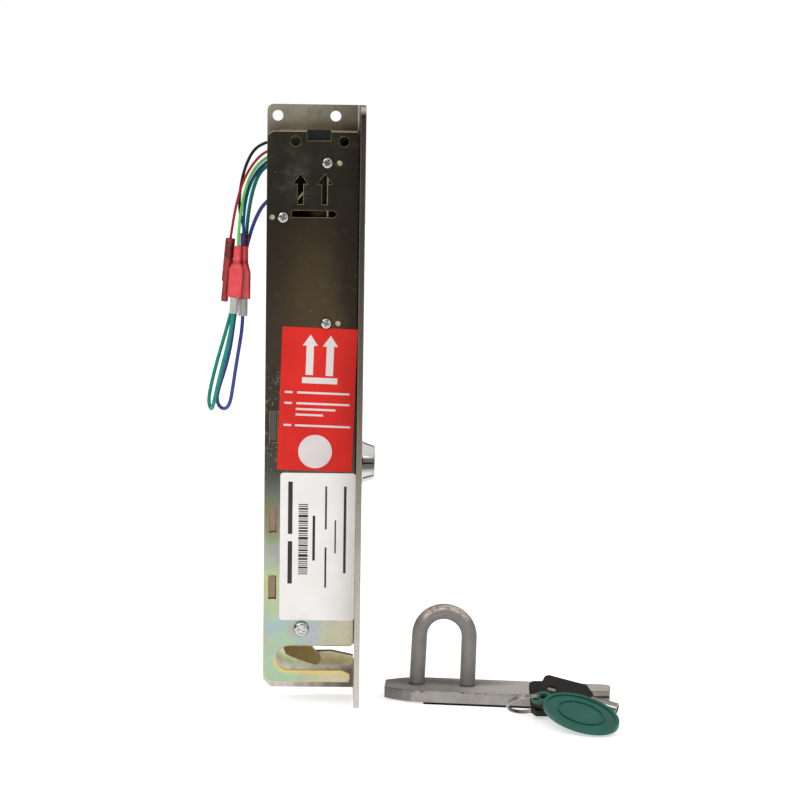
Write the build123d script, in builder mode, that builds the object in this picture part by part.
from build123d import *
import math
import os

# Electric gate lock: a steel mounting plate and a plated cover hold a motor drive that lifts a
# lock bar, whose beak hangs in the mouth where the gate's striker loop comes in.
# Millimetres. +Z is up, -Y is the covered front, +X is the side that faces the striker.
# The origin is on the back of the mounting plate, midway between its two top fixing holes.

os.makedirs("parts", exist_ok=True)

# Case: driving sizes
faceplate_x = 31.5            # outer face of the flange that meets the gate post
case_width = 52.0
case_depth = 30.0             # from the back of the plate to the front of the cover
plate_thickness = 3.0
cover_thickness = 1.5
lock_height = 321.7
faceplate_depth = 40.0        # the flange stands 10 mm proud of the cover
top_z = 6.1
cover_top_z = -7.4
cover_bottom_z = -303.6
plate_overhang = 0.6          # the back plate shows past the cover's left side
cut_margin = 0.5              # cutters run this far past a face
outer_bend_radius = 3.5
inner_bend_radius = 1.0
plate_corner_radius = 3.3
plate_foot_height = 3.0       # the back plate ends this far above the flange's foot
plate_lower_cut = (4.4, 2.0, 7.8)
plate_cut_rounding = 2.5
flange_foot_radius = 2.0
flange_head_radius = 6.0
cover_corner_radius = 4.2
cover_lower_radius = 5.5
cover_right_radius = 2.0
cover_rim_radius = 0.6
lip_inset = (6.0, 1.2)
edge_gap = 0.1
jaw_nose = (0.9, 1.8)
jaw_slope = (4.2, 1.9)

left_x = faceplate_x - case_width
plate_left_x = left_x - plate_overhang
bottom_z = top_z - lock_height
inner_right_x = faceplate_x - plate_thickness
web_front_y = -plate_thickness
cover_front_y = -case_depth
cover_back_y = cover_front_y + cover_thickness
faceplate_front_y = -faceplate_depth
middle_y = -case_depth / 2

# Fixing holes
tab_hole_spacing = 31.0
fixing_hole_radius = 2.9
faceplate_hole_inset = 7.0
faceplate_hole_y = -faceplate_depth / 2

# Mouth for the striker loop
mouth_low_z = -297.1
mouth_high_z = -283.5
mouth_left_x = -13.2
jaw_end_x = 26.4
mouth_height = mouth_high_z - mouth_low_z
mouth_middle_z = (mouth_high_z + mouth_low_z) / 2
window_front_margin = 3.5

# Cover details
upper_hole_centres = [(-5.4, -12.6), (20.1, -12.6)]
upper_hole_radius = 2.8
notch_x = (0.4, 13.2)
notch_low_z = -12.4
notch_depth = 11.0
arrow_x = (-2.7, 10.1)
arrow_tip_z = -29.5
arrow_head_height = 5.7
arrow_head_half_width = 4.0
arrow_shaft_width = 3.2
arrow_low_z = -45.9
arrow_bar_z = (-52.8, -49.0)
arrow_bar_x = (-7.3, 15.1)
arrow_bar_point = 2.1
tab_slot_x = (-17.9, -13.7)
tab_slot_z = [(-173.1, -156.2), (-221.9, -209.1), (-258.1, -245.2)]
small_screw_centres = [(11.4, -23.9), (-11.7, -52.8), (11.7, -108.8)]
pin_centres = [(17.8, -23.9), (-17.5, -52.8), (17.9, -108.8)]
pin_radius = 1.4
pin_rise = 0.3
small_screw_head_radius = 3.0
small_head_height = 2.1
small_screw_radius = 1.5
small_screw_reach = 6.0
large_screw_centre = (0.1, -274.3)
large_screw_head_radius = 4.1
large_head_height = 2.6
large_screw_radius = 2.0
head_rounding = 0.6
recess_turn = 20
recess_depth = 1.6
recess_share = 0.24
recess_reach = 1.15
label_thickness = 0.25
red_label_centre = (7.3, -149.7)
red_label_size = (40.0, 76.8)
red_label_turn = -1.7
red_label_corner = 0.6
white_label_centre = (8.25, -229.4)
white_label_size = (40.3, 80.2)
white_label_corner = 1.6

# Inner side wall
wall_x = (-17.6, -14.2)
wall_clearance = 0.15
wall_low_z = -281.0
tab_recess = 0.4
tab_gap = (0.9, 0.3)
pin_depth = 3.0
pin_wall = 0.9
grommet_opening = 14.0
grommet_lip = 1.2
grommet_chamfer = 0.5

# Drive: motor, gear pair, lead screw, nut and lock bar
carrier_x = (-13.5, 27.0)
carrier_z = (-114.0, -16.0)
carrier_base_y = -6.0
boss_radius = 3.6
pin_pad_x = (14.0, 20.5)
pin_pad_z = [(-26.2, -21.6), (-111.1, -106.5)]
bearing_wall_right = (20.0, 6.5)
bearing_wall_front_y = -27.0
cradle_half_width = 8.5
cradle_front_y = -9.5
cradle_z = (-55.0, -34.0)
drive_axis_y = middle_y - 1
motor_x = 8.0
motor_radius = 10.0
motor_z = (-57.0, -31.5)
motor_seat_z = (-58.0, -20.0)
motor_cap_low_z = -31.5
motor_cap_top_z = -28.2
motor_nose_radius = 3.0
nose_length = 1.5
motor_shaft_radius = 1.0
can_wall = 1.2
can_floor = 3.6
terminal_reach = 5.3
terminal_width = 2.4
terminal_height = 3.2
terminal_half = 0.3
rotor_gap = 0.6
bush_wall = 1.5
gear_module = 0.5
pinion_teeth = 12
screw_gear_teeth = 32
gear_z = (-66.5, -61.5)
screw_x = motor_x - gear_module * (pinion_teeth + screw_gear_teeth) / 2
screw_radius = 3.0
screw_journal_radius = 2.0
screw_top_z = -58.2
screw_thread_z = (-105.0, -68.0)
screw_end_z = -110.5
upper_bearing_z = (-60.8, -58.6)
lower_bearing_z = (-109.6, -106.4)
running_clearance = 0.05
gear_seat_radius = screw_journal_radius + 1.0
gear_collar = 1.5
nut_size = (13.0, 11.0, 8.0)
nut_low_z = -99.0
nut_offset = 8.0
nut_screw_inset = 2.0
nut_screw_depth = 2.0
nut_screw_radius = 1.0
nut_head_radius = 1.8
nut_head_height = 1.2

# Lock bar
bar_front_y = -25.0
bar_thickness = 4.0
bar_x = (-12.0, -4.0)
bar_top_z = -91.0
beak_x = (-9.7, 5.8)
beak_front = [(5.8, -285.1), (7.4, -287.2), (10.1, -290.0)]
beak_under = [(7.8, -295.2), (-5.7, -290.7), (-8.2, -289.2), (-9.7, -285.6)]
beak_nose_radius = 3.3
bar_shoulder_z = -246.0
bar_shoulder_height = 6.0
lug_right_x = 4.0
lug_z = (-180.6, -175.0)
bar_guide_x = (-13.9, -1.5)
bar_guide_z = (-150.0, -138.0)
guide_gap = 0.25
guide_leg_x = [(-13.9, -10.2), (11.0, 14.0)]
guide_strap_back_y = -25.3
guide_z = (-281.0, -267.2)

# Sensing lever
lever_front_y = -11.0
lever_thickness = 4.0
lever_pivot = (-4.5, -275.5)
lever_arm_half_width = 4.2
lever_bar_z = (-298.6, -290.9)
lever_nose_x = 28.3
lever_nose_cut = 2.2
lever_upper_side = [(-0.3, -286.0), (3.5, -290.9), (16.4, -290.6)]
lever_heel = [(-8.2, -298.6), (-13.4, -293.6), (-13.4, -287.0), (-8.7, -282.0)]
lever_pin_radius = 2.0
lever_pin_neck = 1.5
lever_pin_head = 1.2
lever_spring_radius = 3.6
spring_gap = 0.2
lever_arm_top_z = -262.0

# Microswitch beside the lever's arm
switch_x = (2.3, 15.3)
switch_y = (-12.0, -6.0)
switch_z = (-266.8, -260.6)
switch_screw_x = (switch_x[0] + 3.2, switch_x[1] - 3.2)
switch_screw_z = -265.4
switch_screw_radius = 0.95
switch_head_radius = 1.7
switch_head_height = 1.0
switch_pin_inset = 1.8
switch_pin_half_width = 0.6
switch_pin_half_thickness = 0.2
switch_pin_length = 3.4
plunger_y = -9.0
plunger_z = -263.6
plunger_radius = 0.8
plunger_gap = 0.3
plunger_bore = 3.2
plunger_engaged = 1.0

# Key cylinder
cylinder_z = -185.6
cylinder_body_radius = 9.4
bezel_radius = 11.6
bezel_tip_radius = 9.0
bezel_length = 7.0
bezel_rim = 0.8
cylinder_inner_x = 5.0
plug_radius = 5.5
plug_recess = 0.5
plug_tail_length = 3.0
plug_tail_radius = 2.6
keyway_depth = 9.0
keyway_radius = 3.6
keyway_post_radius = 2.2
cylinder_nut_height = 3.5
cylinder_nut_radius = 12.0
washer_thickness = 1.0
washer_radius = 10.8
cam_setback = 2.5
cam_thickness = 2.0
cam_reach = 11.5
cam_hub_radius = 5.0
cam_width = 6.4
cam_screw_radius = 1.2
cam_screw_head_radius = 3.4
cam_screw_length = 4.0

# Circuit board, its tall parts as boxes on its front, and the block in the cover's notch
board_x = (-0.5, 26.5)
board_z = (-160.0, -122.0)
board_front_y = -9.2
board_back_y = -7.6
board_boxes = [((14.0, 24.0), 5.3, (-137.0, -128.0)), ((3.0, 10.0), 2.8, (-154.0, -147.0))]
board_can = (19.0, -148.0)
board_can_height = 9.8
board_can_radius = 3.2
standoff_inset = 3.0
standoff_radius = 2.0
top_block_gap = 0.3
top_block_rise = 0.7
top_block_depth = 5.0
top_block_rounding = 0.6

# Wires: diameters, and their connectors
fine_wire = 1.4
thin_wire = 1.6
motor_wire = 2.0
grommet_face_x = -18.9
wire_start_x = grommet_face_x + 0.6
grommet_z = (-48.0, -10.6)
sleeve_wall = 0.6
spade_barrel_radius = 2.25
spade_barrel_length = 8.0
spade_width = 7.8
spade_bore_depth = 9.0
bullet_rounding = 0.5
bullet_tip = (11.0, 1.9)       # length and radius of the narrower end
bullet_bore_share = 0.6
bullet_bore_depth = 4.0
blade_length = 6.0
blade_thickness = 0.8
crimp_radius = 1.35

# Striker and keys stand on the level of the lock's foot
floor_z = bottom_z
striker_turn = -7.7
striker_thickness = 6.3
striker_length = 121.0
striker_depth = 32.6
striker_left_end = [(17.8, 32.6), (8.9, 30.8), (4.8, 28.7), (-2.8, 23.3), (-1.6, 7.8), (3.3, 4.2), (8.7, 1.7)]
striker_front_start = 14.0
striker_corner_radius = 4.0
striker_rim_radius = 0.5
striker_corner = (46.23, -21.2)
loop_rod_radius = 4.2
loop_spacing = 27.9
loop_top = 51.4
loop_u = 29.05
loop_line = 16.5
loop_lean = 1.7               # degrees to the right, as the rods stand in the plate
loop_closing = 0.6            # each rod leans inwards by this many degrees
loop_root = 3.0               # the rods start this far inside the plate and are cut at its top

# Keys, ring and tag
key_pile_origin = (125.1, -55.8, -315.4)
key_tilt = 27.0
key_bow_thickness = 4.5
key_bow_chamfer = 0.5
key_eye_radius = 3.0
key_tongue_start = 2.6
key_tongue_width = 4.6
key_tongue_thickness = 3.2
key_window_size = (4.6, 3.6)
key_stack_gap = 0.95          # the upper bow lies on the lower key's thicker shaft
key_shaft_radius = 3.1
key_shaft_wall = 0.9
key_bore_depth = 8.0
ring_centre = (120.7, -55.7, -308.4)
ring_radius = 10.4
ring_wire_radius = 0.62
ring_slope = 36.8
ring_roll = 6.0
tag_origin = (152.06, -92.76, -315.2)
tag_tilt = 20.0
tag_centre = (-4.4, 17.35, 0)
tag_half_axes = (22.3, 14.5)
tag_turn = -40.4
tag_thickness = 2.4
tag_eye = (-24.1, 33.7, 0)
tag_eye_turn = 30.0
tag_eye_radius = 2.1


def save(piece, node):
    """Label a finished piece and write it as its own file."""
    piece.label = node
    export_step(piece, f"parts/{node}.step")


def front_plane(y):
    """Sketch plane seen from the front: its x is +X, its y is +Z, and extrude comes forward, to -Y."""
    return Plane(origin=(0, y, 0), x_dir=(1, 0, 0), z_dir=(0, -1, 0))


def side_plane(x):
    """Sketch plane seen from the striker's side: its x is +Y, its y is +Z, and extrude goes to +X."""
    return Plane(origin=(x, 0, 0), x_dir=(0, 1, 0), z_dir=(1, 0, 0))


def span(low, high):
    """Centre and length of a stretch."""
    return (low + high) / 2, high - low


def block(x, y, z):
    """Add a block between two values on each axis."""
    centre_x, length_x = span(*x)
    centre_y, length_y = span(*y)
    centre_z, length_z = span(*z)
    with Locations((centre_x, centre_y, centre_z)):
        return Box(length_x, length_y, length_z)


def rod_y(x, z, y, radius, mode=Mode.ADD):
    """Add or cut a round bar along Y at one place, between two values of Y."""
    centre_y, length = span(*y)
    with Locations(Location((x, centre_y, z), (90, 0, 0))):
        return Cylinder(radius, length, mode=mode)


def rod_z(x, y, z, radius, mode=Mode.ADD):
    """Add or cut a round bar along Z at one place, between two values of Z."""
    centre_z, length = span(*z)
    with Locations((x, y, centre_z)):
        return Cylinder(radius, length, mode=mode)


def rod_x(y, z, x, radius, mode=Mode.ADD):
    """Add or cut a round bar along X at one place, between two values of X."""
    centre_x, length = span(*x)
    with Locations(Location((centre_x, y, z), (0, 90, 0))):
        return Cylinder(radius, length, mode=mode)


# Case pieces

def make_mounting_plate():
    """Back plate and flange folded from one sheet, open at the mouth."""
    middle_z = (top_z + bottom_z) / 2
    through_plate = (web_front_y - cut_margin, cut_margin)
    through_flange = (inner_right_x - cut_margin, faceplate_x + cut_margin)
    with BuildPart() as mounting_plate:
        with BuildSketch(Plane.XY.offset(bottom_z)):
            with BuildLine():
                Polyline(
                    (plate_left_x, 0),
                    (faceplate_x, 0),
                    (faceplate_x, faceplate_front_y),
                    (inner_right_x, faceplate_front_y),
                    (inner_right_x, web_front_y),
                    (plate_left_x, web_front_y),
                    close=True,
                )
            make_face()
        extrude(amount=lock_height)
        outer_bend = mounting_plate.edges().filter_by(Axis.Z).sort_by_distance((faceplate_x, 0, middle_z))[0]
        fillet(outer_bend, outer_bend_radius)
        inner_bend = mounting_plate.edges().filter_by(Axis.Z).sort_by_distance(
            (inner_right_x, web_front_y, middle_z))[0]
        fillet(inner_bend, inner_bend_radius)
        # the back plate stops above the flange's foot, and its lower left corner is cut
        cut_x, cut_low, cut_high = plate_lower_cut
        with BuildSketch(front_plane(cut_margin)):
            with Locations((plate_left_x, bottom_z)):
                Rectangle(inner_right_x - plate_left_x, plate_foot_height, align=(Align.MIN, Align.MIN))
            with BuildLine():
                Polyline((left_x - 1, bottom_z + cut_low), (left_x + cut_x, bottom_z + cut_low),
                         (left_x - 1, bottom_z + cut_high), close=True)
            make_face()
        extrude(amount=plate_thickness + 2 * cut_margin, mode=Mode.SUBTRACT)
        upright_edges = mounting_plate.edges().filter_by(Axis.Y)
        fillet(upright_edges.sort_by_distance((plate_left_x, 0, bottom_z))[:2], plate_cut_rounding)
        upper_left = mounting_plate.edges().filter_by(Axis.Y).sort_by_distance((plate_left_x, 0, top_z))[0]
        fillet(upper_left, plate_corner_radius)
        # rounded front corners of the flange
        for z, radius in ((bottom_z, flange_foot_radius), (top_z, flange_head_radius)):
            corner = mounting_plate.edges().filter_by(Axis.X).sort_by_distance(
                (inner_right_x, faceplate_front_y, z))[0]
            fillet(corner, radius)
        # fixing holes at the top of the back plate and at both ends of the flange
        for side in (-1, 1):
            rod_y(side * tab_hole_spacing / 2, 0, through_plate, fixing_hole_radius, Mode.SUBTRACT)
        for z in (top_z - faceplate_hole_inset, bottom_z + faceplate_hole_inset):
            rod_x(faceplate_hole_y, z, through_flange, fixing_hole_radius, Mode.SUBTRACT)
        # the mouth: a slot in the back plate that runs out through a window in the flange
        with BuildSketch(front_plane(cut_margin)):
            with Locations((mouth_left_x + mouth_height / 2, mouth_middle_z)):
                Circle(mouth_height / 2)
                Rectangle(case_width, mouth_height, align=(Align.MIN, Align.CENTER))
        extrude(amount=faceplate_depth - window_front_margin + cut_margin, mode=Mode.SUBTRACT)
        # round seat for the key cylinder
        rod_x(middle_y, cylinder_z, through_flange, cylinder_body_radius + edge_gap, Mode.SUBTRACT)
        # the lever's pin is riveted here
        rod_y(*lever_pivot, through_plate, lever_pin_radius + running_clearance, Mode.SUBTRACT)
    save(mounting_plate.part, "mounting_plate")


def arrow_outline(x):
    """Upward arrow of the cover's cut-out, as points seen from the front."""
    head_z = arrow_tip_z - arrow_head_height
    half_shaft = arrow_shaft_width / 2
    return [
        (x, arrow_tip_z),
        (x + arrow_head_half_width, head_z),
        (x + half_shaft, head_z),
        (x + half_shaft, arrow_low_z),
        (x - half_shaft, arrow_low_z),
        (x - half_shaft, head_z),
        (x - arrow_head_half_width, head_z),
    ]


def make_front_cover():
    """Plated sheet cover with its bent top lip, slots, arrows and the mouth."""
    through_cover = (cover_front_y - cut_margin, cover_back_y + cut_margin)
    cut_depth = cover_thickness + 2 * cut_margin
    notch_middle, notch_width = span(*notch_x)
    with BuildPart() as front_cover:
        with BuildSketch(front_plane(cover_back_y)):
            centre_x, width = span(left_x, inner_right_x - edge_gap)
            centre_z, height = span(cover_bottom_z, cover_top_z)
            with Locations((centre_x, centre_z)):
                Rectangle(width, height)
            upper_left = vertices().sort_by_distance((left_x, cover_top_z))[0]
            fillet(upper_left, cover_corner_radius)
            upper_right = vertices().sort_by_distance((inner_right_x, cover_top_z))[0]
            fillet(upper_right, cover_right_radius)
            lower_left = vertices().sort_by_distance((left_x, cover_bottom_z))[0]
            fillet(lower_left, cover_lower_radius)
        extrude(amount=cover_thickness)
        front_rim = front_cover.faces().sort_by(Axis.Y)[0].edges()
        fillet(front_rim, cover_rim_radius)
        # top lip, folded back to the mounting plate
        block((left_x + lip_inset[0], inner_right_x - lip_inset[1]), (cover_back_y, web_front_y - edge_gap),
              (cover_top_z - cover_thickness, cover_top_z))
        # holes and slots
        for x, z in upper_hole_centres:
            rod_y(x, z, through_cover, upper_hole_radius, Mode.SUBTRACT)
        for x, z in small_screw_centres:
            rod_y(x, z, through_cover, small_screw_radius + edge_gap, Mode.SUBTRACT)
        for x, z in pin_centres:
            rod_y(x, z, through_cover, pin_radius + running_clearance, Mode.SUBTRACT)
        rod_y(*large_screw_centre, through_cover, large_screw_radius + edge_gap, Mode.SUBTRACT)
        with BuildSketch(front_plane(cover_back_y + cut_margin)):
            with Locations((notch_middle, notch_low_z)):
                Rectangle(notch_width, cover_top_z - notch_low_z + cut_margin, align=(Align.CENTER, Align.MIN))
            for x in arrow_x:
                with BuildLine():
                    Polyline(*arrow_outline(x), close=True)
                make_face()
            bar_middle, bar_height = span(*arrow_bar_z)
            with BuildLine():
                Polyline(
                    (arrow_bar_x[0], arrow_bar_z[0]),
                    (arrow_bar_x[1], arrow_bar_z[0]),
                    (arrow_bar_x[1] + arrow_bar_point, bar_middle),
                    (arrow_bar_x[1], arrow_bar_z[1]),
                    (arrow_bar_x[0], arrow_bar_z[1]),
                    close=True,
                )
            make_face()
            for low, high in tab_slot_z:
                middle, height = span(low, high)
                centre_x, width = span(*tab_slot_x)
                with Locations((centre_x, middle)):
                    RectangleRounded(width, height, cover_rim_radius)
        extrude(amount=cut_depth, mode=Mode.SUBTRACT)
        # the notch goes on through the top lip
        with Locations((notch_middle, cover_back_y, cover_top_z)):
            Box(notch_width, 2 * notch_depth, 2 * (cover_thickness + cut_margin), mode=Mode.SUBTRACT)
        # mouth slot: round inner end, open at the flange, with a chamfered lower jaw
        slot_end_x = mouth_left_x + mouth_height / 2
        open_x = inner_right_x + cut_margin
        below_z = cover_bottom_z - cut_margin
        nose_x = jaw_end_x - jaw_nose[0]
        right_x = inner_right_x - edge_gap
        upper_corner = []
        for step in range(5):
            angle = math.pi / 8 * step
            upper_corner.append((right_x - cover_right_radius * (1 - math.sin(angle)),
                                 mouth_high_z + cover_right_radius * (1 - math.cos(angle))))
        with BuildSketch(front_plane(cover_back_y + cut_margin)):
            with Locations((slot_end_x, mouth_middle_z)):
                Circle(mouth_height / 2)
            with BuildLine():
                Polyline(
                    (slot_end_x, mouth_high_z),
                    *upper_corner,
                    (open_x, mouth_high_z + cover_right_radius),
                    (open_x, below_z),
                    (nose_x, below_z),
                    (nose_x, cover_bottom_z),
                    (jaw_end_x, cover_bottom_z + jaw_nose[1]),
                    (jaw_end_x, mouth_low_z - jaw_slope[1]),
                    (jaw_end_x - jaw_slope[0], mouth_low_z),
                    (slot_end_x, mouth_low_z),
                    close=True,
                )
            make_face()
        extrude(amount=cut_depth, mode=Mode.SUBTRACT)
    save(front_cover.part, "front_cover")


def make_side_wall():
    """Inner side wall, whose three tabs stand in the cover's slots."""
    with BuildPart() as side_wall:
        block(wall_x, (cover_back_y + wall_clearance, web_front_y), (wall_low_z, grommet_z[1]))
        for low, high in tab_slot_z:
            block(wall_x, (cover_front_y + tab_recess, cover_back_y + 2), (low + tab_gap[0], high - tab_gap[1]))
        # pad that carries one of the locating pins
        pin_x, pin_z = pin_centres[1]
        rod_y(pin_x, pin_z, (cover_back_y + wall_clearance, cover_back_y + 2 * pin_depth), pin_radius + pin_wall)
        rod_y(pin_x, pin_z, (cover_back_y - cut_margin, cover_back_y + pin_depth), pin_radius, Mode.SUBTRACT)
        # opening for the wires' grommet
        wall_middle, wall_width = span(*wall_x)
        middle, height = span(*grommet_z)
        with Locations((wall_middle, middle_y, middle)):
            Box(2 * wall_width, grommet_opening, height, mode=Mode.SUBTRACT)
    save(side_wall.part, "side_wall")


def make_wire_grommet():
    """Rubber strip that closes the wires' opening in the side wall."""
    front = middle_y - grommet_opening / 2
    back = middle_y + grommet_opening / 2
    low, high = grommet_z
    with BuildPart() as wire_grommet:
        block((grommet_face_x, wall_x[0]), (front - grommet_lip, back + grommet_lip),
              (low - grommet_lip, high - edge_gap))
        block(wall_x, (front + edge_gap, back - edge_gap), (low + edge_gap, high - edge_gap))
        face_edges = wire_grommet.faces().sort_by(Axis.X)[0].edges()
        chamfer(face_edges, grommet_chamfer)
    save(wire_grommet.part, "wire_grommet")


def cross_recess(x, z, y, length):
    """Cut the cross in a screw head."""
    for turn in (0, 90):
        with Locations(Location((x, y, z), (0, turn + recess_turn, 0))):
            Box(length, recess_depth, length * recess_share, mode=Mode.SUBTRACT)


def pan_screw(x, z, head_radius, head_height, shank_radius, tip_y):
    """Pan-head screw along Y whose head sits on the cover."""
    rod_y(x, z, (cover_front_y - head_height, cover_front_y), head_radius)
    rim = faces().filter_by(Axis.Y).sort_by_distance((x, cover_front_y - head_height, z))[0].edges()
    fillet(rim, head_height * head_rounding)
    rod_y(x, z, (cover_front_y, tip_y), shank_radius)
    cross_recess(x, z, cover_front_y - head_height, head_radius * recess_reach)


def make_cover_screws():
    """Three small screws hold the cover to the carrier, a large one holds it to the beak's guide."""
    with BuildPart() as cover_screws_small:
        for x, z in small_screw_centres:
            pan_screw(x, z, small_screw_head_radius, small_head_height, small_screw_radius,
                      cover_back_y + small_screw_reach)
    save(cover_screws_small.part, "cover_screws_small")
    with BuildPart() as cover_screw_large:
        pan_screw(*large_screw_centre, large_screw_head_radius, large_head_height, large_screw_radius,
                  guide_strap_back_y)
    save(cover_screw_large.part, "cover_screw_large")


def make_locating_pins():
    """Three brass pins set the carrier square to the cover."""
    with BuildPart() as locating_pins:
        for x, z in pin_centres:
            rod_y(x, z, (cover_front_y - pin_rise, cover_back_y + pin_depth), pin_radius)
    save(locating_pins.part, "locating_pins")


# Drive pieces

def make_drive_carrier():
    """Moulded tray on the back plate, with a boss at each screw and the two bearing walls."""
    left, right = carrier_x
    with BuildPart() as drive_carrier:
        block(carrier_x, (carrier_base_y, web_front_y), carrier_z)
        for x, z in small_screw_centres:
            rod_y(x, z, (cover_back_y, carrier_base_y), boss_radius)
        # pads beside the bosses carry the locating pins
        for pad_z in pin_pad_z:
            block(pin_pad_x, (cover_back_y, carrier_base_y), pad_z)
        # upper and lower bearing walls of the lead screw; the upper one holds the motor's nose
        block((left, bearing_wall_right[0]), (bearing_wall_front_y, carrier_base_y), upper_bearing_z)
        block((left, bearing_wall_right[1]), (bearing_wall_front_y, carrier_base_y), lower_bearing_z)
        # cradle behind the motor
        block((motor_x - cradle_half_width, motor_x + cradle_half_width), (cradle_front_y, carrier_base_y), cradle_z)
        rod_z(motor_x, drive_axis_y, motor_seat_z, motor_radius + running_clearance, Mode.SUBTRACT)
        rod_z(motor_x, drive_axis_y, (upper_bearing_z[0] - 1, cradle_z[1]), motor_nose_radius + running_clearance,
              Mode.SUBTRACT)
        for z in (upper_bearing_z, lower_bearing_z):
            rod_z(screw_x, drive_axis_y, (z[0] - 1, z[1] + 1), screw_journal_radius + bush_wall, Mode.SUBTRACT)
        for x, z in small_screw_centres:
            rod_y(x, z, (cover_back_y - 1, cover_back_y + small_screw_reach + 1), small_screw_radius, Mode.SUBTRACT)
        for x, z in pin_centres:
            if x > 0:
                rod_y(x, z, (cover_back_y - 1, cover_back_y + pin_depth), pin_radius, Mode.SUBTRACT)
        # the lock bar passes through the lower bearing wall
        gap_x, gap_width = span(bar_x[0] - cut_margin, bar_x[1] + cut_margin)
        with Locations((gap_x, bar_front_y + bar_thickness / 2, lower_bearing_z[0])):
            Box(gap_width, bar_thickness + 2 * cut_margin, 2 * bar_thickness, mode=Mode.SUBTRACT)
        # flat on the left boss beside the side wall
        with Locations((wall_x[1] + edge_gap, middle_y, small_screw_centres[1][1])):
            Box(boss_radius, case_depth, 3 * boss_radius, align=(Align.MAX, Align.CENTER, Align.CENTER),
                mode=Mode.SUBTRACT)
    save(drive_carrier.part, "drive_carrier")


def make_motor():
    """Small direct-current motor: plated can, end cap and shaft."""
    low, high = motor_z
    with BuildPart() as motor_can:
        rod_z(motor_x, drive_axis_y, motor_z, motor_radius)
        can_edges = motor_can.edges().filter_by(GeomType.CIRCLE).sort_by(Axis.Z)[0]
        fillet(can_edges, can_wall)
        rod_z(motor_x, drive_axis_y, (low - nose_length, low + 1), motor_nose_radius)
        rod_z(motor_x, drive_axis_y, (low - 2, high + 1), motor_shaft_radius + running_clearance, Mode.SUBTRACT)
        rod_z(motor_x, drive_axis_y, (low + can_floor, high + 1), motor_radius - can_wall, Mode.SUBTRACT)
    save(motor_can.part, "motor_can")
    terminal_x = (motor_x - terminal_reach - terminal_width, motor_x - terminal_reach)
    with BuildPart() as motor_end_cap:
        rod_z(motor_x, drive_axis_y, (motor_cap_low_z, motor_cap_top_z), motor_radius - terminal_half)
        for side in (-1, 1):
            terminal_y = drive_axis_y + side * motor_nose_radius
            block(terminal_x, (terminal_y - terminal_half, terminal_y + terminal_half),
                  (motor_cap_top_z, motor_cap_top_z + terminal_height))
    save(motor_end_cap.part, "motor_end_cap")
    with BuildPart() as motor_rotor:
        rod_z(motor_x, drive_axis_y, (gear_z[0] - rotor_gap, motor_cap_low_z - rotor_gap), motor_shaft_radius)
        rod_z(motor_x, drive_axis_y, (low + can_floor + can_wall, motor_cap_low_z - can_floor),
              motor_radius - 2 * can_wall)
    save(motor_rotor.part, "motor_rotor")


def gear_outline(centre_x, centre_y, teeth, radius, phase):
    """Spur gear outline: straight-flanked teeth, thinned a little for backlash."""
    pitch = 360 / teeth
    root = radius - 1.25 * gear_module
    tip = radius + gear_module
    widths = [(root, 0.36), (radius, 0.235), (tip, 0.11)]
    points = []
    for tooth in range(teeth):
        middle = phase + tooth * pitch
        rising = [(r, middle - share * pitch) for r, share in widths]
        falling = [(r, middle + share * pitch) for r, share in reversed(widths)]
        for r, angle in rising + falling:
            turn = math.radians(angle)
            points.append((centre_x + r * math.cos(turn), centre_y + r * math.sin(turn)))
    return points


def make_gears():
    """Brass pinion on the motor's shaft, and the moulded gear on the lead screw."""
    pinion_radius = gear_module * pinion_teeth / 2
    gear_radius = gear_module * screw_gear_teeth / 2
    low, high = gear_z
    with BuildPart() as motor_pinion:
        with BuildSketch(Plane.XY.offset(low)):
            with BuildLine():
                Polyline(*gear_outline(motor_x, drive_axis_y, pinion_teeth, pinion_radius, 180), close=True)
            make_face()
        extrude(amount=high - low)
        rod_z(motor_x, drive_axis_y, (low - 1, high + 1), motor_shaft_radius, Mode.SUBTRACT)
    save(motor_pinion.part, "motor_pinion")
    with BuildPart() as screw_gear:
        with BuildSketch(Plane.XY.offset(low)):
            with BuildLine():
                Polyline(*gear_outline(screw_x, drive_axis_y, screw_gear_teeth, gear_radius, 180 / screw_gear_teeth),
                         close=True)
            make_face()
        extrude(amount=high - low)
        rod_z(screw_x, drive_axis_y, (low - 1, high + 1), gear_seat_radius + running_clearance, Mode.SUBTRACT)
    save(screw_gear.part, "screw_gear")


def make_lead_screw():
    """Steel screw of steep pitch between two bushes."""
    with BuildPart() as lead_screw:
        rod_z(screw_x, drive_axis_y, (screw_end_z, screw_top_z), screw_journal_radius)
        rod_z(screw_x, drive_axis_y, (gear_z[0] - gear_collar, gear_z[1]), gear_seat_radius)
        rod_z(screw_x, drive_axis_y, screw_thread_z, screw_radius)
    save(lead_screw.part, "lead_screw")
    with BuildPart() as screw_bushes:
        for low, high in (upper_bearing_z, lower_bearing_z):
            rod_z(screw_x, drive_axis_y, (low, high), screw_journal_radius + bush_wall)
            rod_z(screw_x, drive_axis_y, (low - 1, high + 1), screw_journal_radius + running_clearance,
                  Mode.SUBTRACT)
    save(screw_bushes.part, "screw_bushes")


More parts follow.
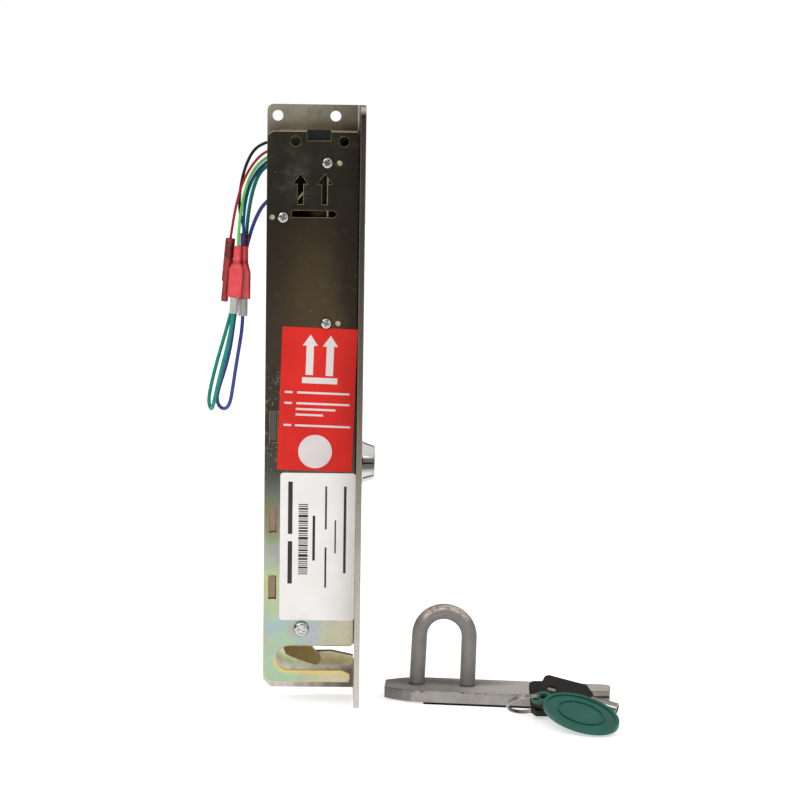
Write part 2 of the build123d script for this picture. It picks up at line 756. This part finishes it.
def make_drive_nut():
    """Brass nut that climbs the screw and carries the lock bar on two screws."""
    width, depth, height = nut_size
    nut_z = (nut_low_z, nut_low_z + height)
    nut_middle_z = nut_low_z + height / 2
    nut_front = bar_front_y + bar_thickness
    nut_left = screw_x - nut_offset
    screw_places = (bar_x[0] + nut_screw_inset, bar_x[1] - nut_screw_inset)
    with BuildPart() as drive_nut:
        block((nut_left, nut_left + width), (nut_front, nut_front + depth), nut_z)
        rod_z(screw_x, drive_axis_y, (nut_z[0] - 1, nut_z[1] + 1), screw_radius + running_clearance, Mode.SUBTRACT)
        for x in screw_places:
            rod_y(x, nut_middle_z, (nut_front - 1, nut_front + nut_screw_depth), nut_screw_radius, Mode.SUBTRACT)
    save(drive_nut.part, "drive_nut")
    with BuildPart() as nut_screws:
        for x in screw_places:
            rod_y(x, nut_middle_z, (bar_front_y - nut_head_height, bar_front_y), nut_head_radius)
            rod_y(x, nut_middle_z, (bar_front_y, nut_front + nut_screw_depth), nut_screw_radius)
            cross_recess(x, nut_middle_z, bar_front_y - nut_head_height, nut_head_radius * recess_reach)
    save(nut_screws.part, "nut_screws")


def make_lock_bar():
    """Flat bar that the nut lifts; its foot is the beak that closes the mouth."""
    bar_y = (bar_front_y, bar_front_y + bar_thickness)
    neck_z = bar_shoulder_z + bar_shoulder_height
    with BuildPart() as lock_bar:
        with BuildSketch(front_plane(bar_y[1])):
            with BuildLine():
                Polyline(
                    (bar_x[0], bar_top_z),
                    (bar_x[1], bar_top_z),
                    (bar_x[1], neck_z),
                    (beak_x[1], bar_shoulder_z),
                    *beak_front,
                )
                RadiusArc(beak_front[-1], beak_under[0], beak_nose_radius)
                Polyline(
                    *beak_under,
                    (beak_x[0], bar_shoulder_z),
                    (bar_x[0], neck_z),
                    (bar_x[0], bar_top_z),
                )
            make_face()
        extrude(amount=bar_thickness)
        # lug above the key's cam
        block((bar_x[1], lug_right_x), bar_y, lug_z)
        for x in (bar_x[0] + nut_screw_inset, bar_x[1] - nut_screw_inset):
            rod_y(x, nut_low_z + nut_size[2] / 2, (bar_y[0] - 1, bar_y[1] + 1),
                  nut_screw_radius + running_clearance, Mode.SUBTRACT)
    save(lock_bar.part, "lock_bar")


def make_bar_guide():
    """Plastic guide on the back plate that keeps the bar upright."""
    left, right = bar_guide_x
    channel_y = bar_front_y + bar_thickness + guide_gap
    with BuildPart() as bar_guide:
        block(bar_guide_x, (channel_y, web_front_y), bar_guide_z)
        block((left, bar_x[0] - guide_gap), (bar_front_y, channel_y), bar_guide_z)
        block((bar_x[1] + guide_gap, right), (bar_front_y, channel_y), bar_guide_z)
    save(bar_guide.part, "bar_guide")


def make_beak_guide():
    """Steel bridge over the beak, on two legs from the back plate; the large cover screw goes into it."""
    left_leg, right_leg = guide_leg_x
    with BuildPart() as beak_guide:
        block((left_leg[0], right_leg[1]), (cover_back_y, guide_strap_back_y), guide_z)
        for leg in guide_leg_x:
            block(leg, (guide_strap_back_y, web_front_y), guide_z)
        rod_y(*large_screw_centre, (cover_back_y - 1, guide_strap_back_y + 1), large_screw_radius, Mode.SUBTRACT)
    save(beak_guide.part, "beak_guide")


# Sensing lever and its switch

def make_sensing_lever():
    """Lever that lies in the mouth's lower half and is pressed down by the striker loop."""
    pivot_x, pivot_z = lever_pivot
    arm_left = pivot_x - lever_arm_half_width
    arm_right = pivot_x + lever_arm_half_width
    low, high = lever_bar_z
    lever_back_y = lever_front_y + lever_thickness
    with BuildPart() as sensing_lever:
        with BuildSketch(front_plane(lever_back_y)):
            with BuildLine():
                Polyline(
                    (arm_left, lever_arm_top_z),
                    (arm_right, lever_arm_top_z),
                    *lever_upper_side,
                    (lever_nose_x, high - lever_nose_cut),
                    (lever_nose_x, low + lever_nose_cut),
                    (lever_nose_x - lever_nose_cut, low),
                    *lever_heel,
                    close=True,
                )
            make_face()
        extrude(amount=lever_thickness)
        rod_y(pivot_x, pivot_z, (lever_front_y - 1, lever_back_y + 1), lever_pin_radius + running_clearance,
              Mode.SUBTRACT)
    save(sensing_lever.part, "sensing_lever")
    neck_y = lever_front_y - lever_pin_neck
    with BuildPart() as lever_pin:
        rod_y(pivot_x, pivot_z, (neck_y, 0), lever_pin_radius)
        rod_y(pivot_x, pivot_z, (neck_y - lever_pin_head, neck_y), lever_pin_radius + lever_pin_head)
    save(lever_pin.part, "lever_pin")
    with BuildPart() as lever_spring:
        rod_y(pivot_x, pivot_z, (lever_back_y + spring_gap, web_front_y), lever_spring_radius)
        rod_y(pivot_x, pivot_z, (lever_back_y, web_front_y), lever_pin_radius + spring_gap, Mode.SUBTRACT)
    save(lever_spring.part, "lever_spring")


def make_microswitch():
    """Small snap switch that tells the gate's controller when a loop is in the mouth."""
    left, right = switch_x
    front, back = switch_y
    top = switch_z[1]
    with BuildPart() as microswitch:
        block(switch_x, switch_y, switch_z)
        for x in switch_screw_x:
            rod_y(x, switch_screw_z, (front - 1, back + 1), switch_screw_radius + running_clearance, Mode.SUBTRACT)
        for x in (left + switch_pin_inset, (left + right) / 2, right - switch_pin_inset):
            block((x - switch_pin_half_width, x + switch_pin_half_width),
                  (plunger_y - switch_pin_half_thickness, plunger_y + switch_pin_half_thickness),
                  (top, top + switch_pin_length))
        rod_x(plunger_y, plunger_z, (left - 1, left + plunger_bore), plunger_radius + running_clearance,
              Mode.SUBTRACT)
    save(microswitch.part, "microswitch")
    with BuildPart() as switch_bracket:
        block((left, guide_leg_x[1][0] - plunger_gap), (back, web_front_y), switch_z)
        block(switch_x, (back, web_front_y), (guide_z[1] + spring_gap, top))
        for x in switch_screw_x:
            rod_y(x, switch_screw_z, (back - 1, web_front_y + 1), switch_screw_radius, Mode.SUBTRACT)
    save(switch_bracket.part, "switch_bracket")
    arm_right = lever_pivot[0] + lever_arm_half_width
    with BuildPart() as switch_plunger:
        rod_x(plunger_y, plunger_z, (arm_right + plunger_gap, left + plunger_engaged), plunger_radius)
    save(switch_plunger.part, "switch_plunger")
    with BuildPart() as switch_screws:
        for x in switch_screw_x:
            rod_y(x, switch_screw_z, (front - switch_head_height, front), switch_head_radius)
            rod_y(x, switch_screw_z, (front, web_front_y - spring_gap), switch_screw_radius)
    save(switch_screws.part, "switch_screws")


# Key cylinder

def make_key_cylinder():
    """Cam lock through the flange: housing, plug, cam, nut and washer, all on one X axis."""
    y, z = middle_y, cylinder_z
    bezel_x = faceplate_x + bezel_rim
    tip_x = faceplate_x + bezel_length
    with BuildPart() as cylinder_housing:
        rod_x(y, z, (cylinder_inner_x, faceplate_x), cylinder_body_radius)
        rod_x(y, z, (faceplate_x, bezel_x), bezel_radius)
        with BuildSketch(side_plane(bezel_x)):
            with Locations((y, z)):
                Circle(bezel_radius - bezel_rim / 2)
        with BuildSketch(side_plane(tip_x)):
            with Locations((y, z)):
                Circle(bezel_tip_radius)
        loft()
        tip_edge = cylinder_housing.edges().filter_by(GeomType.CIRCLE).sort_by(Axis.X)[-1]
        fillet(tip_edge, bezel_rim)
        rod_x(y, z, (cylinder_inner_x - 1, tip_x + 1), plug_radius + running_clearance, Mode.SUBTRACT)
    save(cylinder_housing.part, "cylinder_housing")
    with BuildPart() as cylinder_plug:
        rod_x(y, z, (cylinder_inner_x, tip_x - plug_recess), plug_radius)
        rod_x(y, z, (cylinder_inner_x - plug_tail_length, cylinder_inner_x), plug_tail_radius)
        rod_x(y, z, (tip_x - keyway_depth, tip_x), keyway_radius, Mode.SUBTRACT)
        rod_x(y, z, (tip_x - keyway_depth, tip_x - 2 * plug_recess), keyway_post_radius)
        rod_x(y, z, (cylinder_inner_x - cam_screw_length, cylinder_inner_x + cam_screw_length), cam_screw_radius,
              Mode.SUBTRACT)
    save(cylinder_plug.part, "cylinder_plug")
    nut_x = inner_right_x - washer_thickness - cylinder_nut_height
    with BuildPart() as cylinder_nut:
        with BuildSketch(side_plane(nut_x)):
            with Locations((y, z)):
                RegularPolygon(cylinder_nut_radius, 6, major_radius=True, rotation=90)
                Circle(cylinder_body_radius, mode=Mode.SUBTRACT)
        extrude(amount=cylinder_nut_height)
    save(cylinder_nut.part, "cylinder_nut")
    with BuildPart() as cylinder_washer:
        rod_x(y, z, (inner_right_x - washer_thickness, inner_right_x), washer_radius)
        rod_x(y, z, (inner_right_x - washer_thickness - 1, inner_right_x + 1), cylinder_body_radius, Mode.SUBTRACT)
    save(cylinder_washer.part, "cylinder_washer")
    with BuildPart() as cylinder_cam:
        with BuildSketch(side_plane(cylinder_inner_x - cam_setback)):
            with Locations((y, z)):
                Circle(cam_hub_radius)
            with Locations((y, z - cam_reach / 2)):
                Rectangle(cam_width, cam_reach)
            with Locations((y, z)):
                Circle(plug_tail_radius + running_clearance, mode=Mode.SUBTRACT)
        extrude(amount=cam_thickness)
    save(cylinder_cam.part, "cylinder_cam")
    with BuildPart() as cam_screw:
        tail_x = cylinder_inner_x - plug_tail_length
        rod_x(y, z, (tail_x - cam_thickness, tail_x), cam_screw_head_radius)
        rod_x(y, z, (tail_x, cylinder_inner_x + cam_screw_length), cam_screw_radius)
    save(cam_screw.part, "cam_screw")


# Circuit board, top block and labels

def make_board():
    """Driver board above the motor, and the black block that fills the cover's notch."""
    with BuildPart() as circuit_board:
        block(board_x, (board_front_y, board_back_y), board_z)
        for box_x, height, box_z in board_boxes:
            block(box_x, (board_front_y - height, board_front_y), box_z)
        rod_y(*board_can, (board_front_y - board_can_height, board_front_y), board_can_radius)
    save(circuit_board.part, "circuit_board")
    with BuildPart() as board_standoffs:
        for x in (board_x[0] + standoff_inset, board_x[1] - standoff_inset):
            for z in (board_z[0] + standoff_inset, board_z[1] - standoff_inset):
                rod_y(x, z, (board_back_y, web_front_y), standoff_radius)
    save(board_standoffs.part, "board_standoffs")
    block_x = (notch_x[0] + top_block_gap, notch_x[1] - top_block_gap)
    block_back_y = cover_back_y + top_block_depth
    with BuildPart() as top_block:
        block(block_x, (cover_front_y + top_block_rounding, block_back_y),
              (notch_low_z + top_block_gap, cover_top_z + top_block_rise))
        upper_edges = top_block.faces().sort_by(Axis.Z)[-1].edges()
        fillet(upper_edges, top_block_rounding)
        block(block_x, (cover_back_y, block_back_y), (notch_low_z - cover_thickness, notch_low_z + 1))
    save(top_block.part, "top_block")


def make_labels():
    """Red direction label and white type label, stuck on the cover."""
    label_y = (cover_front_y - 1, cover_front_y + 1)
    red_x, red_z = red_label_centre
    with BuildPart() as red_label:
        with BuildSketch(front_plane(cover_front_y)):
            with Locations(Location((red_x, red_z, 0), (0, 0, red_label_turn))):
                RectangleRounded(*red_label_size, red_label_corner)
        extrude(amount=label_thickness)
        rod_y(*small_screw_centres[2], label_y, small_screw_head_radius + edge_gap, Mode.SUBTRACT)
    save(red_label.part, "red_label")
    with BuildPart() as white_label:
        with BuildSketch(front_plane(cover_front_y)):
            with Locations(white_label_centre):
                RectangleRounded(*white_label_size, white_label_corner)
        extrude(amount=label_thickness)
        rod_y(*large_screw_centre, label_y, large_screw_head_radius + edge_gap, Mode.SUBTRACT)
    save(white_label.part, "white_label")


# Wires: each route is a list of points, from the grommet to the connector

black_route = [
    (wire_start_x, -13.5, -13.3),
    (-23.4, -13.5, -14.6),
    (-28.6, -13.4, -18.8),
    (-32.6, -13.1, -27.4),
    (-35.2, -12.5, -39.0),
    (-35.6, -11.8, -50.4),
    (-33.6, -11.1, -57.2),
    (-32.7, -10.8, -62.8),
]
red_route = [
    (wire_start_x, -17.5, -17.6),
    (-22.9, -17.5, -19.4),
    (-28.3, -17.5, -25.4),
    (-33.2, -17.4, -33.9),
    (-36.4, -16.8, -44.6),
    (-38.6, -15.4, -55.6),
    (-40.0, -13.5, -65.4),
]
light_green_route = [
    (wire_start_x, -16.5, -20.6),
    (-23.0, -16.5, -23.0),
    (-28.5, -16.7, -29.4),
    (-32.2, -17.0, -38.8),
    (-34.4, -17.5, -50.2),
    (-35.5, -19.1, -60.6),
    (-35.6, -19.7, -69.3),
]
blue_route = [
    (wire_start_x, -14.2, -22.8),
    (-22.8, -14.3, -25.4),
    (-27.8, -14.6, -31.8),
    (-31.4, -15.0, -41.4),
    (-32.9, -15.6, -51.8),
    (-33.1, -15.9, -61.2),
    (-32.8, -16.0, -69.3),
]
teal_route = [
    (wire_start_x, -11.4, -25.4),
    (-22.4, -11.4, -27.4),
    (-26.0, -11.2, -32.4),
    (-28.8, -9.8, -41.0),
    (-30.8, -7.0, -52.0),
    (-31.8, -5.0, -63.5),
    (-33.0, -4.4, -75.6),
    (-35.2, -4.6, -88.0),
    (-38.5, -5.4, -101.0),
    (-42.6, -6.2, -116.6),
    (-47.4, -6.6, -133.4),
    (-50.3, -6.6, -145.6),
    (-51.6, -6.6, -153.5),
    (-50.6, -10.4, -157.4),
    (-49.2, -15.8, -157.4),
    (-48.2, -19.6, -153.5),
    (-46.6, -20.0, -146.0),
    (-44.2, -19.4, -135.4),
    (-41.1, -19.3, -123.2),
    (-38.9, -19.4, -112.0),
    (-37.75, -19.52, -101.43),
]
navy_route = [
    (wire_start_x, -12.0, -43.6),
    (-22.3, -12.0, -46.6),
    (-26.1, -11.0, -53.2),
    (-29.2, -8.6, -61.4),
    (-31.6, -7.0, -70.8),
    (-33.6, -6.8, -82.0),
    (-35.8, -7.8, -94.6),
    (-37.8, -8.8, -108.6),
    (-39.6, -9.2, -123.6),
    (-42.6, -9.0, -136.4),
    (-45.9, -8.4, -146.4),
    (-47.3, -8.4, -153.3),
    (-45.0, -11.6, -157.2),
    (-41.7, -16.0, -157.2),
    (-39.4, -19.2, -153.3),
    (-38.2, -19.0, -146.0),
    (-36.6, -17.8, -134.4),
    (-34.8, -15.6, -122.8),
    (-33.3, -13.4, -112.6),
    (-33.11, -13.85, -103.03),
]


def bend_radii(route):
    """Largest arcs that the straight runs allow: 0.45 of the shorter run over the tangent of half the turn."""
    points = [Vector(*point) for point in route]
    radii = []
    for before, corner, after in zip(points, points[1:], points[2:]):
        first = corner - before
        second = after - corner
        half_turn = math.radians(first.get_angle(second)) / 2
        radii.append(0.45 * min(first.length, second.length) / math.tan(half_turn))
    return radii


def make_wire(node, route, diameter):
    """One wire as a tube of straight runs joined by arcs; prints its length, bends and volume."""
    radii = bend_radii(route)
    with BuildPart() as wire:
        with BuildLine() as route_line:
            FilletPolyline(*route, radius=radii)
        path = route_line.wires()[0]
        with BuildSketch(Plane(origin=path @ 0, z_dir=path % 0)):
            Circle(diameter / 2)
        sweep(path=path)
    length = path.length
    share = wire.part.volume / (length * math.pi * diameter ** 2 / 4)
    print(f"{node}: length {length:.1f}, tightest bend {min(radii):.1f}, volume over section x length {share:.3f}")
    save(wire.part, node)


def make_wires():
    """Six leads: two fine signal pairs and the two thicker motor leads that hang in loops."""
    make_wire("wire_black", black_route, thin_wire)
    make_wire("wire_red", red_route, fine_wire)
    make_wire("wire_light_green", light_green_route, thin_wire)
    make_wire("wire_blue", blue_route, thin_wire)
    make_wire("wire_teal", teal_route, motor_wire)
    make_wire("wire_navy", navy_route, motor_wire)


def connector_plane(top, bottom):
    """Plane at a connector's top whose z runs down along the connector."""
    return Plane(origin=top, x_dir=(1, 0, 0), z_dir=Vector(*bottom) - Vector(*top))


def make_spade_sleeve(node, top, bottom, body_start, body_end, thickness):
    """Red insulated spade connector: round barrel, sloped neck and flat body, open below."""
    axis = connector_plane(top, bottom)
    bore = thickness - 2 * sleeve_wall
    with BuildPart() as sleeve:
        with BuildSketch(axis):
            Circle(spade_barrel_radius)
        extrude(amount=spade_barrel_length)
        with BuildSketch(axis.offset(spade_barrel_length)):
            Circle(spade_barrel_radius)
        with BuildSketch(axis.offset(body_start)):
            RectangleRounded(spade_width, thickness, thickness / 2 - edge_gap)
        loft()
        with BuildSketch(axis.offset(body_start)):
            RectangleRounded(spade_width, thickness, thickness / 2 - edge_gap)
        extrude(amount=body_end - body_start)
        with BuildSketch(axis.offset(body_end)):
            RectangleRounded(spade_width - 2 * sleeve_wall, bore, bore / 2 - edge_gap)
        extrude(amount=-spade_bore_depth, mode=Mode.SUBTRACT)
    save(sleeve.part, node)


def make_round_sleeve(node, top, bottom, radius, tip=(0, 0)):
    """Round crimp sleeve with softened ends and a blind bore in its lower end, which may be narrower."""
    axis = connector_plane(top, bottom)
    length = (Vector(*bottom) - Vector(*top)).length
    tip_length, tip_radius = tip
    end_radius = tip_radius or radius
    with BuildPart() as sleeve:
        with BuildSketch(axis):
            Circle(radius)
        extrude(amount=length - tip_length)
        if tip_length:
            with BuildSketch(axis.offset(length - tip_length)):
                Circle(tip_radius)
            extrude(amount=tip_length)
        ends = sleeve.faces().sort_by(Axis.Z)
        fillet((ends[0] + ends[-1]).edges(), bullet_rounding)
        with BuildSketch(axis.offset(length)):
            Circle(end_radius * bullet_bore_share)
        extrude(amount=-bullet_bore_depth, mode=Mode.SUBTRACT)
    save(sleeve.part, node)


def make_clear_sleeve(node, axis, start, end, radius):
    """Clear sleeve over a motor lead's terminal, a tube open at both ends."""
    with BuildPart() as sleeve:
        with BuildSketch(axis.offset(start)):
            Circle(radius)
            Circle(radius - sleeve_wall, mode=Mode.SUBTRACT)
        extrude(amount=end - start)
    save(sleeve.part, node)


def make_connectors():
    """Connectors on the wires' ends."""
    left_top, left_bottom = (-35.6, -19.7, -69.3), (-38.0, -19.5, -105.1)
    right_top, right_bottom = (-32.8, -16.0, -69.3), (-33.15, -13.6, -106.9)
    left_body = (12.0, 27.2)
    right_body = (14.4, 28.4)
    make_spade_sleeve("spade_sleeve_left", left_top, left_bottom, *left_body, 3.2)
    make_spade_sleeve("spade_sleeve_right", right_top, right_bottom, *right_body, 3.0)
    make_round_sleeve("bullet_sleeve_upper", (-40.0, -13.5, -65.4), (-41.0, -13.5, -76.0), 2.6)
    make_round_sleeve("bullet_sleeve_lower", (-41.0, -13.5, -76.0), (-43.1, -13.5, -99.3), 2.6, bullet_tip)
    make_round_sleeve("bullet_sleeve_rear", (-32.7, -10.8, -62.8), (-32.7, -10.8, -79.6), 2.2)
    left_axis = connector_plane(left_top, left_bottom)
    right_axis = connector_plane(right_top, right_bottom)
    make_clear_sleeve("clear_sleeve_left", left_axis, left_body[1] + edge_gap, 35.9, 2.3)
    make_clear_sleeve("clear_sleeve_right", right_axis, right_body[1] + edge_gap, 37.6, 2.5)
    with BuildPart() as tin_terminals:
        for axis, body_end, wire_end in ((left_axis, left_body[1], 32.2), (right_axis, right_body[1], 33.8)):
            barrel_start = body_end + bullet_rounding
            with BuildSketch(axis.offset(body_end - blade_length)):
                Rectangle(blade_length, blade_thickness)
            extrude(amount=blade_length)
            with BuildSketch(axis.offset(body_end - edge_gap)):
                Circle(blade_thickness)
            extrude(amount=1.0)
            with BuildSketch(axis.offset(barrel_start)):
                Circle(crimp_radius)
            extrude(amount=wire_end - barrel_start)
    save(tin_terminals.part, "tin_terminals")


# Striker

def striker_frame():
    """Plane on the floor in the striker plate's own directions, at its front left corner."""
    return Plane(origin=(striker_corner[0], striker_corner[1], floor_z),
                 x_dir=(math.cos(math.radians(striker_turn)), math.sin(math.radians(striker_turn)), 0),
                 z_dir=(0, 0, 1))


def make_striker():
    """Flat steel plate and the bent loop that is welded to it."""
    frame = striker_frame()
    with BuildPart() as striker_plate:
        with BuildSketch(frame):
            with BuildLine():
                Polyline(
                    (striker_front_start, 0),
                    (striker_length, 0),
                    (striker_length, striker_depth),
                    *striker_left_end,
                    close=True,
                )
            make_face()
            right_corners = vertices().group_by(Axis.X)[-1]
            fillet(right_corners, striker_corner_radius)
        extrude(amount=striker_thickness)
        upper_rim = striker_plate.faces().sort_by(Axis.Z)[-1].edges()
        fillet(upper_rim, striker_rim_radius)
    save(striker_plate.part, "striker_plate")
    half = loop_spacing / 2
    path_top = loop_top - loop_rod_radius
    closing = math.radians(loop_closing)
    crown_radius = ((half - math.tan(closing) * (path_top - loop_root))
                    / (math.cos(closing) - math.tan(closing) * (1 - math.sin(closing))))
    shoulder_x = crown_radius * math.cos(closing)
    shoulder_z = path_top - crown_radius * (1 - math.sin(closing))
    lean = math.radians(loop_lean)
    loop_frame = Plane(origin=frame.from_local_coords((loop_u, loop_line, 0)),
                       x_dir=frame.x_dir * math.cos(lean) - frame.z_dir * math.sin(lean), z_dir=-frame.y_dir)
    with BuildPart() as striker_loop:
        with BuildLine(loop_frame) as loop_line_up:
            Line((-half, loop_root), (-shoulder_x, shoulder_z))
            ThreePointArc((-shoulder_x, shoulder_z), (0, path_top), (shoulder_x, shoulder_z))
            Line((shoulder_x, shoulder_z), (half, loop_root))
        path = loop_line_up.wires()[0]
        with BuildSketch(Plane(origin=path @ 0, z_dir=path % 0)):
            Circle(loop_rod_radius)
        sweep(path=path)
        split(bisect_by=frame.offset(striker_thickness), keep=Keep.TOP)
    save(striker_loop.part, "striker_loop")


# Keys and tag, in a pile that leans towards the striker plate

def leaning_plane(origin, tilt):
    """Plane that rises away from the viewer by a tilt in degrees; its x is +X, its y is up the slope."""
    angle = math.radians(tilt)
    return Plane(origin=origin, x_dir=(1, 0, 0), z_dir=(0, -math.sin(angle), math.cos(angle)))


def make_key(name, frame, outline, eye, axis_y, bow_end, shaft_end, window):
    """Tubular key: a moulded bow over a steel tongue whose outer end is a bored round shaft."""
    shaft_height = key_bow_thickness / 2
    tongue_length = bow_end - key_tongue_start
    with BuildPart() as key_bow:
        with BuildSketch(frame):
            with BuildLine():
                Polyline(*outline, close=True)
            make_face()
        extrude(amount=key_bow_thickness)
        flat_faces = key_bow.faces().filter_by(Axis(frame.origin, frame.z_dir))
        chamfer(flat_faces.edges(), key_bow_chamfer)
        with BuildSketch(frame):
            with Locations(eye):
                Circle(key_eye_radius)
        extrude(amount=key_bow_thickness, mode=Mode.SUBTRACT)
        tongue_place = frame.location * Location((key_tongue_start + tongue_length / 2, axis_y, shaft_height))
        with Locations(tongue_place):
            Box(tongue_length, key_tongue_width, key_tongue_thickness, mode=Mode.SUBTRACT)
        if window:
            window_x, window_y = window
            with BuildSketch(frame.offset(shaft_height)):
                with Locations((window_x, window_y)):
                    Rectangle(*key_window_size)
            extrude(amount=key_bow_thickness, mode=Mode.SUBTRACT)
    save(key_bow.part, f"{name}_bow")
    with BuildPart() as key_blade:
        with Locations(tongue_place):
            Box(tongue_length, key_tongue_width, key_tongue_thickness)
        shaft_plane = Plane(origin=frame.from_local_coords((bow_end, axis_y, shaft_height)),
                            x_dir=frame.y_dir, z_dir=frame.x_dir)
        with BuildSketch(shaft_plane):
            Circle(key_shaft_radius)
        extrude(amount=shaft_end - bow_end)
        with BuildSketch(shaft_plane.offset(shaft_end - bow_end)):
            Circle(key_shaft_radius - key_shaft_wall)
        extrude(amount=-key_bore_depth, mode=Mode.SUBTRACT)
    save(key_blade.part, f"{name}_blade")


def make_keys():
    """Two keys, one on the other."""
    rear_frame = leaning_plane(key_pile_origin, key_tilt)
    rear_outline = [(-2.0, 3.0), (0.5, 0), (20.0, 0), (27.0, 6.0), (27.0, 17.0), (20.5, 24.8), (0, 24.8), (-2.0, 22.8)]
    make_key("key_rear", rear_frame, rear_outline, (4.3, 6.0), 14.2, 27.0, 40.3, None)
    front_place = Location((4.1, 13.0, key_bow_thickness + key_stack_gap), (0, 0, -22))
    front_frame = Plane(rear_frame.location * front_place)
    front_outline = [(-1.7, -10.4), (0.4, -12.6), (15.0, -12.6), (27.1, -5.0), (27.1, 5.4), (21.5, 11.3),
                     (-0.2, 11.3), (-1.7, 9.6)]
    make_key("key_front", front_frame, front_outline, (5.1, -8.2), 0.9, 27.1, 42.0, (5.2, 0.7))


def make_ring_and_tag():
    """Split ring of two coils through both keys and the eye of an oval tag with a raised rim."""
    roll = math.radians(ring_roll)
    slope = math.radians(ring_slope)
    across = Vector(math.cos(roll), 0, math.sin(roll))
    downhill = Vector(0, math.cos(slope), -math.sin(slope))
    ring_plane = Plane(origin=ring_centre, x_dir=across, z_dir=across.cross(downhill))
    with BuildPart() as split_ring:
        for side in (-1, 1):
            with Locations(ring_plane.offset(side * 0.5).location):
                Torus(ring_radius, ring_wire_radius)
    save(split_ring.part, "split_ring")
    tag_frame = leaning_plane(tag_origin, tag_tilt)
    half_long, half_short = tag_half_axes
    with BuildPart() as key_tag:
        with BuildSketch(tag_frame):
            with Locations(Location(tag_centre, (0, 0, tag_turn))):
                Ellipse(half_long, half_short)
        extrude(amount=tag_thickness - 0.6)
        with BuildSketch(tag_frame.offset(tag_thickness - 0.6)):
            with Locations(Location(tag_centre, (0, 0, tag_turn))):
                Ellipse(half_long, half_short)
                Ellipse(half_long - 1.8, half_short - 1.8, mode=Mode.SUBTRACT)
                Ellipse(half_long * 0.62, half_short * 0.62)
                Ellipse(half_long * 0.62 - 0.8, half_short * 0.62 - 0.8, mode=Mode.SUBTRACT)
        extrude(amount=0.6)
        with BuildSketch(tag_frame.offset(-0.9)):
            with Locations(Location(tag_eye, (0, 0, tag_eye_turn))):
                SlotCenterToCenter(2.8, 2 * tag_eye_radius + 4.4)
        extrude(amount=1.8)
        with BuildSketch(tag_frame.offset(-1.9)):
            with Locations(Location(tag_eye, (0, 0, tag_eye_turn))):
                SlotCenterToCenter(2.8, 2 * tag_eye_radius)
        extrude(amount=tag_thickness + 4, mode=Mode.SUBTRACT)
    save(key_tag.part, "key_tag")


for make in (
    make_mounting_plate,
    make_front_cover,
    make_side_wall,
    make_wire_grommet,
    make_cover_screws,
    make_locating_pins,
    make_drive_carrier,
    make_motor,
    make_gears,
    make_lead_screw,
    make_drive_nut,
    make_lock_bar,
    make_bar_guide,
    make_beak_guide,
    make_sensing_lever,
    make_microswitch,
    make_key_cylinder,
    make_board,
    make_labels,
    make_wires,
    make_connectors,
    make_striker,
    make_keys,
    make_ring_and_tag,
):
    make()
